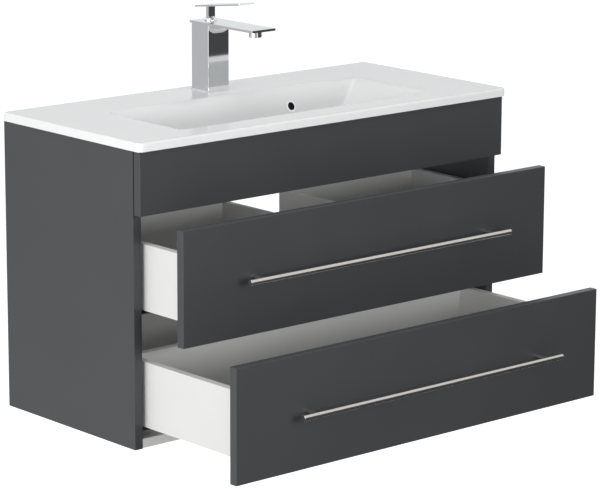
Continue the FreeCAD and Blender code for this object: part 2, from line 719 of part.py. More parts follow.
def basin():
    """The glazed basin: a thin slab with the bowl let into it."""
    slab = box("basin_slab_blank", (f"-{BASIN_HALF}", BASIN_HALF), (f"-{BASIN_DEPTH}", "0"),
               (BASIN_UNDER, BASIN_TOP))
    corners = rounded("basin_corners", slab, "basin_corner", lambda edge, whole: edge.ZLength > EDGE_NEAR)
    mid_slab = f"{BASIN_TOP} - basin_slab/2"
    outside = rounded("bowl_outside", bowl_block("bowl_outside_block", BOWL_UNDER, mid_slab, "bowl_wall"),
                      "bowl_corner + bowl_wall/2", off_the_top)
    inside = rounded("bowl_inside", bowl_block("bowl_inside_block", BOWL_FLOOR, BASIN_TOP, "0"),
                     "bowl_corner", off_the_top)
    boss = box("overflow_boss", ("overflow_side - 2*overflow_ring", "overflow_side + 2*overflow_ring"),
               (OVERFLOW_Y, f"{OVERFLOW_Y} + overflow_depth + bowl_wall + overflow_end"),
               (f"{OVERFLOW_LEVEL} - 2*overflow_ring", mid_slab))
    whole = joined("basin_whole", [corners, outside, boss])
    lean = FreeCAD.Rotation(X_AXIS, -90 - number(LEAN))
    hole = rod("overflow_bore", "overflow_hole + overflow_seat", "overflow_depth + overflow_start",
               "overflow_side", f"{OVERFLOW_Y} - overflow_start*cos({LEAN})",
               f"{OVERFLOW_LEVEL} + overflow_start*sin({LEAN})", lean)
    drain = rod("drain_bore", "drain_radius + drain_gap", "bowl_wall + 2*cut_over", "0", DRAIN_Y,
                f"{BOWL_UNDER} - cut_over")
    tap_bore = rod("tap_bore", "tap_hole_radius", "basin_slab + 2*cut_over", "0", "-tap_back",
                   f"{BASIN_UNDER} - cut_over")
    hollow = cut("basin_hollow", whole, [inside, hole, drain, tap_bore])
    top = number(f"{BASIN_TOP} - {FIXING}") - EDGE_NEAR
    half = number(BOWL_HALF) + RIM_NEAR
    back = number("bowl_back") - RIM_NEAR

    def rim(edge, whole):
        """The bowl's rim in the top face."""
        in_bowl = edge.XMax < half and edge.XMin > -half and edge.YMin < -back
        return edge.ZMin > top and in_bowl and max(edge.XLength, edge.YLength) > RIM_NEAR

    def outer(edge, whole):
        """The slab's outer edge in the top face."""
        at_side = edge.XMax > whole.XMax - EDGE_NEAR or edge.XMin < whole.XMin + EDGE_NEAR
        at_end = edge.YMax < whole.YMin + EDGE_NEAR or edge.YMin > whole.YMax - EDGE_NEAR
        return edge.ZMin > top and (at_side or at_end)

    rim_soft = rounded("basin_rim", hollow, "bowl_rim", rim)
    piece("basin", rounded("basin", rim_soft, "basin_edge", outer))


def overflow_ring():
    """The chrome ring, square to the bowl's back wall, with its sleeve in the ceramic."""
    sleeve = "overflow_hole + overflow_sleeve"
    section = [("overflow_hole", "-overflow_lip - fit_gap"),
               ("overflow_ring", "overflow_dish - overflow_lip - fit_gap"), ("overflow_ring", "-fit_gap"),
               (sleeve, "-fit_gap"), (sleeve, "overflow_sleeve_length"),
               ("overflow_hole", "overflow_sleeve_length")]
    lean = FreeCAD.Rotation(X_AXIS, -90 - number(LEAN))
    ring = spun("overflow_ring", section, "overflow_side", OVERFLOW_Y, OVERFLOW_LEVEL, lean)
    piece("overflow_ring", ring)


def basin_pads():
    """Six clear pads that keep the basin off the boards."""
    pads = []
    side_x = "(cabinet_width/2 - board/2)"
    spots = []
    for sign in ("-1", "1"):
        for y in ("-pad_inset", "pad_inset - cabinet_depth"):
            spots.append((f"{sign}*{side_x}", y, "pad_width", "pad_length"))
    spots.append(("0", f"-{BACK_FACE} + back_board/2", "pad_length", "pad_width"))
    spots.append(("0", "board/2 - cabinet_depth", "pad_length", "pad_width"))
    for index, (x, y, wide, deep) in enumerate(spots):
        pads.append(box(f"basin_pad_{index}", (f"{x} - {wide}/2", f"{x} + {wide}/2"),
                        (f"{y} - {deep}/2", f"{y} + {deep}/2"), ("cabinet_height", BASIN_UNDER)))
    piece("basin_pads", group("basin_pads", pads))


# ---------------------------------------------------------------- waste

def waste():
    """Flanged waste with its push plug, seal and nut."""
    seat = "running_gap"
    flange_top = f"{seat} + waste_flange_thick"
    thread_end = "-waste_thread_length"
    tail_end = f"{thread_end} - tail_length"
    flange = [("waste_bore", seat), ("waste_flange - flange_bevel", seat),
              ("waste_flange", f"{seat} + flange_bevel"), ("waste_flange - flange_land", flange_top),
              ("waste_bore + flange_land", flange_top), ("waste_bore", f"{seat} + flange_lead")]
    shell = [("waste_bore", seat), ("drain_radius", seat), ("drain_radius", thread_end),
             ("tail_radius", thread_end), ("tail_radius", tail_end), ("tail_bore", tail_end),
             ("tail_bore", f"{thread_end} + waste_step"), ("waste_bore", f"{thread_end} + waste_step")]
    guide_level = f"{BOWL_FLOOR} - plug_stem_length + plug_stem_show"
    parts = [spun("waste_flange_ring", flange, "0", DRAIN_Y, BOWL_FLOOR),
             spun("waste_tube", shell, "0", DRAIN_Y, BOWL_FLOOR),
             box("guide_bar", ("-waste_bore - cut_over", "waste_bore + cut_over"),
                 (f"{DRAIN_Y} - guide_bar/2", f"{DRAIN_Y} + guide_bar/2"),
                 (guide_level, f"{guide_level} + guide_height")),
             rod("guide_boss", "plug_stem + guide_wall", "guide_height", "0", DRAIN_Y, guide_level)]
    bore = rod("guide_bore", "plug_stem + fit_gap", "guide_height + 2*cut_over", "0", DRAIN_Y,
               f"{guide_level} - cut_over")
    piece("waste_body", cut("waste_body", joined("waste_blank", parts), [bore]))

    low = f"({flange_top} + running_gap)"
    high = f"{low} + plug_thick"
    plug = [("0", "-plug_stem_length"), ("plug_stem", "-plug_stem_length"), ("plug_stem", low),
            ("plug_radius - plug_edge", low), ("plug_radius", f"{low} + plug_edge"),
            ("plug_radius - plug_edge", f"{high} - plug_edge"), ("plug_radius - plug_crown", high),
            ("0", high)]
    piece("waste_plug", spun("waste_plug", plug, "0", DRAIN_Y, BOWL_FLOOR))

    inner = "drain_radius + fit_gap"
    seal_low = f"{BOWL_UNDER} - waste_seal_height"
    seal = [(inner, "0"), ("waste_nut_radius", "0"), ("waste_nut_radius", "waste_seal_height"),
            (inner, "waste_seal_height")]
    piece("waste_seal", spun("waste_seal", seal, "0", DRAIN_Y, seal_low))
    hexagon_nut("waste_nut", "waste_nut_radius", "waste_nut_height", inner, DRAIN_Y,
                f"{seal_low} - waste_nut_height")


# ---------------------------------------------------------------- tap

def tap_body():
    """Seal, column with its throat, spout plate and aerator."""
    half = "column_width/2"
    y = "-tap_back"
    wide = f"({half} + seal_margin)"
    pad = box("tap_seal_blank", (f"-{wide}", wide), (f"{y} - {wide}", f"{y} + {wide}"),
              (BASIN_TOP, COLUMN_FOOT))
    pad_hole = rod("tap_seal_hole", "tap_hole_radius", "seal_height + 2*cut_over", "0", y,
                   f"{BASIN_TOP} - cut_over")
    piece("tap_base_seal", cut("tap_base_seal", pad, [pad_hole]))

    shaft = box("column_blank", (f"-{half}", half), (f"{y} - {half}", f"{y} + {half}"),
                (COLUMN_FOOT, SPOUT_UNDER))
    upright = rounded("column_soft", shaft, "seal_margin", lambda edge, whole: edge.ZLength > EDGE_NEAR)
    throat_back = f"-{COLUMN_FRONT}"
    throat_low = f"{SPOUT_UNDER} - throat_radius - throat_tail"
    block = box("throat_block", ("-throat_width/2", "throat_width/2"),
                (f"{throat_back} - throat_radius", f"{throat_back} + throat_root"),
                (throat_low, SPOUT_UNDER))
    hollow = rod("throat_hollow", "throat_radius", "throat_width + 2*cut_over", "-throat_width/2 - cut_over",
                 f"{throat_back} - throat_radius", f"{SPOUT_UNDER} - throat_radius", ALONG_X)
    swept = cut("throat_swept", block, [hollow])
    belly = rod("throat_belly_rod", "throat_belly", "throat_radius + throat_root + 2*cut_over", "0",
                f"{throat_back} - throat_radius - cut_over", f"{throat_low} + throat_belly", TO_WALL)
    throat = doc.addObject("Part::Common", "throat")
    throat.Base = swept
    throat.Tool = belly
    body = joined("column_and_throat", [upright, throat])
    well = rod("cartridge_well", "cartridge_radius + fit_gap", "cartridge_height + cut_over", "0", y,
               f"{SPOUT_UNDER} - cartridge_height")
    socket = rod("shank_socket", "shank_radius + fit_gap", "shank_seat + cut_over", "0", y,
                 f"{COLUMN_FOOT} - cut_over")
    piece("tap_column", cut("tap_column", body, [well, socket]))

    front = f"-{COLUMN_FRONT} - spout_reach"
    plate = box("spout_blank", ("-spout_width/2", "spout_width/2"),
                (front, f"{half} + spout_overhang - tap_back"), (SPOUT_UNDER, SPOUT_TOP))
    soft = rounded("spout_soft", plate, "spout_edge", lambda edge, whole: edge.ZLength > EDGE_NEAR)
    spindle_hole = rod("spout_hole", "spindle_radius + fit_gap", "spout_sheet + 2*cut_over", "0",
                       "-stem_back", f"{SPOUT_UNDER} - cut_over")
    piece("spout_plate", cut("spout_plate", soft, [spindle_hole]))

    nozzle = [("0", "aerator_bore_depth"), ("aerator_bore", "aerator_bore_depth"), ("aerator_bore", "0"),
              ("aerator_radius - aerator_edge", "0"), ("aerator_radius", "aerator_edge"),
              ("aerator_radius", "aerator_height"), ("0", "aerator_height")]
    piece("aerator", spun("aerator", nozzle, "0", f"{front} + aerator_setback",
                          f"{SPOUT_UNDER} - aerator_height"))


def tap_works():
    """Cartridge, swivel dome, lever, shank and nut."""
    y = "-tap_back"
    drum = rod("cartridge_drum", "cartridge_radius", "cartridge_height - running_gap", "0", y,
               f"{SPOUT_UNDER} - cartridge_height")
    spindle = rod("cartridge_spindle", "spindle_radius", "spout_sheet + spindle_root", "0", "-stem_back",
                  f"{SPOUT_UNDER} - spindle_root")
    piece("tap_cartridge", joined("tap_cartridge", [drum, spindle]))

    cap = doc.addObject("Part::Ellipsoid", "dome_cap")
    bind(cap, "Radius1", "dome_height")
    bind(cap, "Radius2", "dome_radius")
    cap.Angle1 = 0
    place(cap, "0", "-stem_back", f"{SPOUT_TOP} + running_gap")
    slot_half = "(stem_width/2 + running_gap)"
    slot = box("dome_slot", (f"-{slot_half}", slot_half),
               ("-stem_back - dome_slot_front", "dome_slot_back - stem_back"),
               (SPOUT_TOP, f"{SPOUT_TOP} + 2*dome_height"))
    piece("tap_dome", cut("tap_dome", cap, [slot]))

    tilt = "lever_tilt*1deg"
    rear = "-tap_back + lever_rear"
    blade = box("lever_blade_blank", ("-lever_width/2", "lever_width/2"), ("0", "lever_length"),
                ("0", "lever_thick"))
    place(blade, "-lever_width/2", f"{rear} - lever_length*cos({tilt})",
          f"{BASIN_TOP} + lever_level + lever_length*sin({tilt})",
          FreeCAD.Rotation(X_AXIS, -number("lever_tilt")))
    soft = rounded("lever_blade", blade, "lever_edge", lambda edge, whole: edge.XLength < EDGE_NEAR
                   and edge.YLength < edge.ZLength)
    under = f"({BASIN_TOP} + lever_level + (stem_back - tap_back + lever_rear)*tan({tilt}))"
    stem = box("lever_stem", ("-stem_width/2", "stem_width/2"),
               ("-stem_back - stem_depth/2", "stem_depth/2 - stem_back"),
               (f"{SPOUT_TOP} + stem_seat", f"{under} + lever_thick/2"))
    piece("tap_lever", joined("tap_lever", [soft, stem]))

    shank_low = f"{COLUMN_FOOT} + shank_seat - shank_length"
    shank = rod("shank_blank", "shank_radius", "shank_length", "0", y, shank_low)
    inlets = []
    for side, sign in (("left", "-1"), ("right", "1")):
        inlets.append(rod(f"inlet_{side}", "inlet_radius", "inlet_depth + cut_over",
                          f"{sign}*inlet_pitch/2", y, f"{shank_low} - cut_over"))
    piece("tap_shank", cut("tap_shank", shank, inlets))
    hexagon_nut("tap_nut", "tap_nut_radius", "tap_nut_height", "shank_radius + fit_gap", y,
                f"{BASIN_UNDER} - tap_nut_height")


# ---------------------------------------------------------------- build and write

carcass()
fascia()
drawer("upper", "upper_open", f"({FRONT_HEIGHT} + front_gap)", True)
drawer("lower", "lower_open", "0", False)
hangers()
basin()
overflow_ring()
basin_pads()
waste()
tap_body()
tap_works()
doc.recompute()

faults = [obj.Name for obj in doc.Objects if "Invalid" in obj.State or "Error" in obj.State]
faults += [name for name, obj in PIECES.items() if obj.Shape.isNull() or not obj.Shape.isValid()]
if faults:
    raise RuntimeError(f"these objects failed: {faults}")
for name, obj in PIECES.items():
    obj.Shape.exportStep(f"parts/{name}.step")
print(len(PIECES), "sub-parts written")
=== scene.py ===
"""Looks of a wall-hung bathroom vanity: lacquered fronts, white drawers, glazed basin and chrome tap."""

import json
import logging
import math
from collections.abc import Callable
from dataclasses import dataclass, field
from enum import Enum
from typing import Any

import bmesh
import bpy
from mathutils import Matrix, Vector


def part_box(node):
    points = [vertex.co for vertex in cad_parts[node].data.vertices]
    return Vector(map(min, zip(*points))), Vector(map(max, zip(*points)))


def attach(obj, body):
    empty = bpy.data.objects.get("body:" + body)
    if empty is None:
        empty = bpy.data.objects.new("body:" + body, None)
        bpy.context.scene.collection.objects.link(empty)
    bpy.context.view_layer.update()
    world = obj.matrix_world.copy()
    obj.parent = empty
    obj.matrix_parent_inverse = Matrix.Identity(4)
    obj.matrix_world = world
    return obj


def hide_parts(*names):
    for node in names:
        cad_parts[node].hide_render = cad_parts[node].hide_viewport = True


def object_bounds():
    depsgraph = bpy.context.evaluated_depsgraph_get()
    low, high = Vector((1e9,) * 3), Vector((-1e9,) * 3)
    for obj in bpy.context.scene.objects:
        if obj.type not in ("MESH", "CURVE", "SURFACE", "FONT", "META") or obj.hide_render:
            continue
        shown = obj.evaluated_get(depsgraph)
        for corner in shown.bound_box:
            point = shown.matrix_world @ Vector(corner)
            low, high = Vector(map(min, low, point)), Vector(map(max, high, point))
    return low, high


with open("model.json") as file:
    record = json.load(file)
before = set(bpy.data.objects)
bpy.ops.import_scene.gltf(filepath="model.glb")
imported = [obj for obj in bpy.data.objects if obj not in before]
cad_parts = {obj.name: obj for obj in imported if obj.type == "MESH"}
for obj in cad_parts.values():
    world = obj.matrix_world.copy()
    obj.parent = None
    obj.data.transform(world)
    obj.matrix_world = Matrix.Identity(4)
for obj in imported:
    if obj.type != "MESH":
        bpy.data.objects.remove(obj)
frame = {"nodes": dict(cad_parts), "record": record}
CAD_BOX = [list(corner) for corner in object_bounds()]
LOG = logging.getLogger("vanity")
MM = 0.001


# ---------------------------------------------------------------- materials

def linear(code: str) -> tuple[float, float, float, float]:
    """Turn an sRGB hex colour into linear RGBA.

    Args:
        code: six hex digits after a hash.

    Returns:
        The linear colour with an alpha of one.
    """
    parts = [int(code[i:i + 2], 16) / 255 for i in (1, 3, 5)]
    red, green, blue = (c / 12.92 if c <= 0.04045 else ((c + 0.055) / 1.055) ** 2.4 for c in parts)
    return red, green, blue, 1.0


def per_metre(size_mm: float) -> float:
    """The texture scale that repeats a feature of this size in millimetres."""
    return 1.0 / (size_mm * MM)


def add_node(tree: bpy.types.NodeTree, kind: str, inputs: dict[Any, Any] | None = None,
             **settings: Any) -> bpy.types.Node:
    """Add one node, set its properties and fill or link its inputs.

    Args:
        tree: the node tree to add to.
        kind: the node's class name.
        inputs: a value or an output socket for each named or numbered input.
        settings: properties of the node.

    Returns:
        The new node.
    """
    node = tree.nodes.new(kind)
    for name, value in settings.items():
        setattr(node, name, value)
    for name, value in (inputs or {}).items():
        if isinstance(value, bpy.types.NodeSocket):
            tree.links.new(value, node.inputs[name])
        else:
            node.inputs[name].default_value = value
    return node


@dataclass(frozen=True)
class Finish:
    """One real material: its colour, and how its surface was made."""

    name: str
    colour: str
    roughness: float
    metallic: float = 0.0

    def material(self) -> bpy.types.Material:
        """Make the material once and hand out the same one after that."""
        ready = bpy.data.materials.get(self.name)
        if ready:
            return ready
        made = bpy.data.materials.new(self.name)
        made.use_nodes = True
        tree = made.node_tree
        tree.nodes.clear()
        shader = add_node(tree, "ShaderNodeBsdfPrincipled",
                          {"Base Color": linear(self.colour), "Roughness": self.roughness,
                           "Metallic": self.metallic})
        add_node(tree, "ShaderNodeOutputMaterial", {"Surface": shader.outputs[0]})
        place = add_node(tree, "ShaderNodeTexCoord").outputs["Object"]
        self.dress(tree, shader, place)
        return made

    def dress(self, tree: bpy.types.NodeTree, shader: bpy.types.Node, place: bpy.types.NodeSocket) -> None:
        """Add the pattern of the surface.

        Args:
            tree: the material's node tree.
            shader: its Principled shader.
            place: Object coordinates, in metres.
        """
        raise NotImplementedError

    def tint(self, tree: bpy.types.NodeTree, shader: bpy.types.Node, amount: bpy.types.NodeSocket,
             other: str) -> None:
        """Let the base colour drift to another hex colour by a factor."""
        mix = add_node(tree, "ShaderNodeMix", {0: amount, 6: linear(self.colour), 7: linear(other)},
                       data_type="RGBA")
        tree.links.new(mix.outputs[2], shader.inputs["Base Color"])

    def polish(self, tree: bpy.types.NodeTree, shader: bpy.types.Node, amount: bpy.types.NodeSocket,
               spread: float) -> None:
        """Let the roughness drift about its value by a spread."""
        span = add_node(tree, "ShaderNodeMapRange",
                        {"Value": amount, "To Min": self.roughness - spread, "To Max": self.roughness + spread})
        tree.links.new(span.outputs[0], shader.inputs["Roughness"])

    def relief(self, tree: bpy.types.NodeTree, shader: bpy.types.Node, height: bpy.types.NodeSocket,
               depth_mm: float, strength: float) -> None:
        """Raise the surface by a height map of a given depth."""
        bump = add_node(tree, "ShaderNodeBump",
                        {"Height": height, "Distance": depth_mm * MM, "Strength": strength})
        tree.links.new(bump.outputs[0], shader.inputs["Normal"])


def noise(tree: bpy.types.NodeTree, place: bpy.types.NodeSocket, size_mm: float,
          detail: float = 2.0, stretch: tuple[float, float, float] = (1, 1, 1)) -> bpy.types.NodeSocket:
    """Noise with features of a given size, stretched along an axis where its share is small."""
    mapped = add_node(tree, "ShaderNodeMapping", {"Vector": place, "Scale": stretch})
    made = add_node(tree, "ShaderNodeTexNoise",
                    {"Vector": mapped.outputs[0], "Scale": per_metre(size_mm), "Detail": detail})
    return made.outputs[0]


@dataclass(frozen=True)
class Lacquer(Finish):
    """Sprayed two-part lacquer on board: silk-matt, with a faint orange peel and slow clouds."""

    cloud: str = "#404245"
    peel_mm: float = 1.4

    def dress(self, tree, shader, place) -> None:
        """Sprayed film: even colour, a soft sheen and a fine peel that breaks up reflections."""
        clouds = noise(tree, place, 160.0)
        self.tint(tree, shader, clouds, self.cloud)
        self.polish(tree, shader, clouds, 0.04)
        self.relief(tree, shader, noise(tree, place, self.peel_mm), 0.02, 0.25)


@dataclass(frozen=True)
class Melamine(Finish):
    """White melamine-faced board: pressed against a fine pearl texture."""

    shade: str = "#E4E4E2"
    pearl_mm: float = 2.2

    def dress(self, tree, shader, place) -> None:
        """Pressed resin paper: a satin white with a fine pearl grain."""
        clouds = noise(tree, place, 90.0)
        self.tint(tree, shader, clouds, self.shade)
        self.polish(tree, shader, clouds, 0.05)
        self.relief(tree, shader, noise(tree, place, self.pearl_mm, 4.0), 0.03, 0.3)


@dataclass(frozen=True)
class Glaze(Finish):
    """Vitreous china under a poured glaze: wet gloss with a slow waviness."""

    shade: str = "#F1F2F2"
    wave_mm: float = 45.0

    def dress(self, tree, shader, place) -> None:
        """Fired glaze: a deep gloss whose reflections wander a little."""
        shader.inputs["Coat Weight"].default_value = 0.6
        shader.inputs["Coat Roughness"].default_value = 0.03
        clouds = noise(tree, place, 120.0)
        self.tint(tree, shader, clouds, self.shade)
        self.relief(tree, shader, noise(tree, place, self.wave_mm), 0.25, 0.12)


@dataclass(frozen=True)
class Chrome(Finish):
    """Nickel and chrome plate on polished brass, with faint wiping marks."""

    shade: str = "#DDDFE1"
    wipe_mm: float = 1.0

    def dress(self, tree, shader, place) -> None:
        """Buffed plate: a mirror, dulled here and there by wiping."""
        marks = noise(tree, place, 30.0, 5.0)
        self.tint(tree, shader, marks, self.shade)
        self.polish(tree, shader, marks, 0.02)
        self.relief(tree, shader, noise(tree, place, self.wipe_mm, 2.0, (0.2, 1, 1)), 0.003, 0.1)


@dataclass(frozen=True)
class BrushedSteel(Finish):
    """Stainless bar brushed along X: fine lines that spread its highlights across."""

    shade: str = "#B9B6B2"
    line_mm: float = 0.5

    def dress(self, tree, shader, place) -> None:
        """Belt-brushed bar: hair lines along its length, drawn a little coarse so that they show."""
        lines = noise(tree, place, self.line_mm, 3.0, (0.01, 1, 1))
        self.tint(tree, shader, lines, self.shade)
        self.polish(tree, shader, lines, 0.06)
        self.relief(tree, shader, lines, 0.002, 0.15)


@dataclass(frozen=True)
class ZincPlate(Finish):
    """Rolled and zinc-plated steel sheet, with cloudy spangle and drawing lines along Y."""

    shade: str = "#8F9599"
    spangle_mm: float = 9.0

    def dress(self, tree, shader, place) -> None:
        """Rolled sheet: a bluish mirror broken by spangle and lines."""
        spangle = add_node(tree, "ShaderNodeTexVoronoi",
                           {"Vector": place, "Scale": per_metre(self.spangle_mm)}).outputs[0]
        self.tint(tree, shader, spangle, self.shade)
        lines = noise(tree, place, 0.8, 3.0, (1, 0.02, 1))
        self.polish(tree, shader, lines, 0.08)
        self.relief(tree, shader, lines, 0.01, 0.2)


@dataclass(frozen=True)
class Moulding(Finish):
    """Injection-moulded plastic or rubber with a spark-eroded grain."""

    shade: str = "#808080"
    grain_mm: float = 0.6

    def dress(self, tree, shader, place) -> None:
        """Moulded skin: even colour under a fine eroded grain."""
        grain = noise(tree, place, self.grain_mm, 3.0)
        self.tint(tree, shader, grain, self.shade)
        self.polish(tree, shader, grain, 0.05)
        self.relief(tree, shader, grain, 0.02, 0.3)


@dataclass(frozen=True)
class TurnedBrass(Finish):
    """Machined brass with tool rings round Z."""

    shade: str = "#A98545"
    pitch_mm: float = 1.5

    def dress(self, tree, shader, place) -> None:
        """Lathe-turned: fine rings at the thread's pitch."""
        rings = add_node(tree, "ShaderNodeTexWave",
                         {"Vector": place, "Scale": per_metre(self.pitch_mm) / (2 * math.pi) * 0.31,
                          "Distortion": 0.2}, bands_direction="Z").outputs[1]
        self.tint(tree, shader, rings, self.shade)
        self.polish(tree, shader, rings, 0.06)
        self.relief(tree, shader, rings, 0.3, 0.5)


@dataclass(frozen=True)
class Beech(Finish):
    """Turned beech dowel with flecks along X."""

    shade: str = "#A97F55"
    fleck_mm: float = 1.2

    def dress(self, tree, shader, place) -> None:
        """Cut wood: pale pink-brown with short darker flecks along the grain."""
        flecks = noise(tree, place, self.fleck_mm, 4.0, (0.15, 1, 1))
        self.tint(tree, shader, flecks, self.shade)
        self.polish(tree, shader, flecks, 0.08)
        self.relief(tree, shader, flecks, 0.05, 0.4)


class Coat(Enum):
    """The finishes of the vanity, by the slot that each one dresses."""

    ANTHRACITE = Lacquer("lacquered board, sprayed silk-matt anthracite", "#3C3E40", 0.42)
    WHITE_BOARD = Melamine("melamine-faced board, pressed pearl white", "#E9E9E8", 0.45)
    CERAMIC = Glaze("vitreous china, white glazed", "#F5F6F6", 0.12)
    CHROME = Chrome("brass, polished and chrome plated", "#E3E4E6", 0.05, 1.0)
    SATIN_STEEL = BrushedSteel("stainless bar, brushed", "#D6D3CF", 0.24, 1.0)
    ZINC = ZincPlate("steel sheet, zinc plated", "#A9AFB2", 0.34, 1.0)
    SILICONE = Moulding("silicone, moulded clear", "#DDE0E0", 0.3, shade="#D2D6D6")
    RUBBER = Moulding("rubber, moulded black", "#17181A", 0.6, shade="#222326")
    WHITE_PLASTIC = Moulding("polypropylene, moulded white", "#E4E4E0", 0.45, shade="#DADAD6")
    GREY_PLASTIC = Moulding("acetal, moulded grey", "#84878A", 0.35, shade="#77797C")
    BRASS = TurnedBrass("brass, turned", "#B8924C", 0.3, 1.0)
    # Painted shade: this near-black coat stands for the shade deep inside the overflow channel, not for the
    # clay's own colour.
    PAINTED_SHADE_CLAY = Moulding("fired clay, near black as painted shade", "#0A0A0B", 0.8, shade="#101011")
    BEECH = Beech("beech, turned", "#C9A377", 0.6)


SLOT_COATS = {
    "anthracite_board": Coat.ANTHRACITE, "white_board": Coat.WHITE_BOARD, "glazed_ceramic": Coat.CERAMIC,
    "chrome_plate": Coat.CHROME, "satin_steel": Coat.SATIN_STEEL, "zinc_steel": Coat.ZINC,
    "silicone": Coat.SILICONE, "black_rubber": Coat.RUBBER, "white_plastic": Coat.WHITE_PLASTIC,
    "grey_plastic": Coat.GREY_PLASTIC, "brass": Coat.BRASS, "beech": Coat.BEECH,
}


def dress_cad_nodes() -> None:
    """Give every node of the frame the coat of its slot."""
    for entry in frame["record"]["subparts"]:
        node = frame["nodes"][entry["node"]]
        coat = SLOT_COATS[entry["material_slot"]].value.material()
        node.data.materials.clear()
        node.data.materials.append(coat)
        LOG.info("%s: %s", entry["node"], coat.name)


# ---------------------------------------------------------------- basin

def soft_min(one: float, other: float, blend: float) -> float:
    """The lower of two heights, rounded where they meet.

    Args:
        one: a height.
        other: another height.
        blend: how far apart the two may be and still be rounded.

    Returns:
        The blended height.
    """
    near = max(blend - abs(one - other), 0.0) / blend
    return min(one, other) - near * near * blend / 4


def soft_max(one: float, other: float, blend: float) -> float:
    """The higher of two heights, rounded where they meet."""
    return -soft_min(-one, -other, blend)


def steps(stops: list[float], spacing: list[float]) -> list[float]:
    """Even grid lines between stops.

    Args:
        stops: the places that the lines must pass through, in order.
        spacing: about how far apart the lines are in each span.

    Returns:
        Every line, the stops among them.
    """
    lines = [stops[0]]
    for start, end, gap in zip(stops, stops[1:], spacing):
        count = max(1, round(abs(end - start) / gap))
        lines += [start + (end - start) * i / count for i in range(1, count + 1)]
    return lines


def link(name: str, shape: bmesh.types.BMesh, body: str, coat: Coat,
         smooth_deg: float = 40.0) -> bpy.types.Object:
    """Turn a modelled shape into a dressed piece that rides on a body.

    Args:
        name: the piece's name.
        shape: its geometry in metres, freed here.
        body: the CAD body that it moves with.
        coat: its finish.
        smooth_deg: edges sharper than this stay sharp.

    Returns:
        The new object.
    """
    for edge in shape.edges:
        edge.smooth = edge.calc_face_angle(0.0) < math.radians(smooth_deg)
    for face in shape.faces:
        face.smooth = True
    mesh = bpy.data.meshes.new(name)
    shape.to_mesh(mesh)
    shape.free()
    made = bpy.data.objects.new(name, mesh)
    bpy.context.scene.collection.objects.link(made)
    mesh.materials.append(coat.value.material())
    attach(made, body)
    LOG.info("%s: %s, rides on %s", name, coat.value.name, body)
    return made


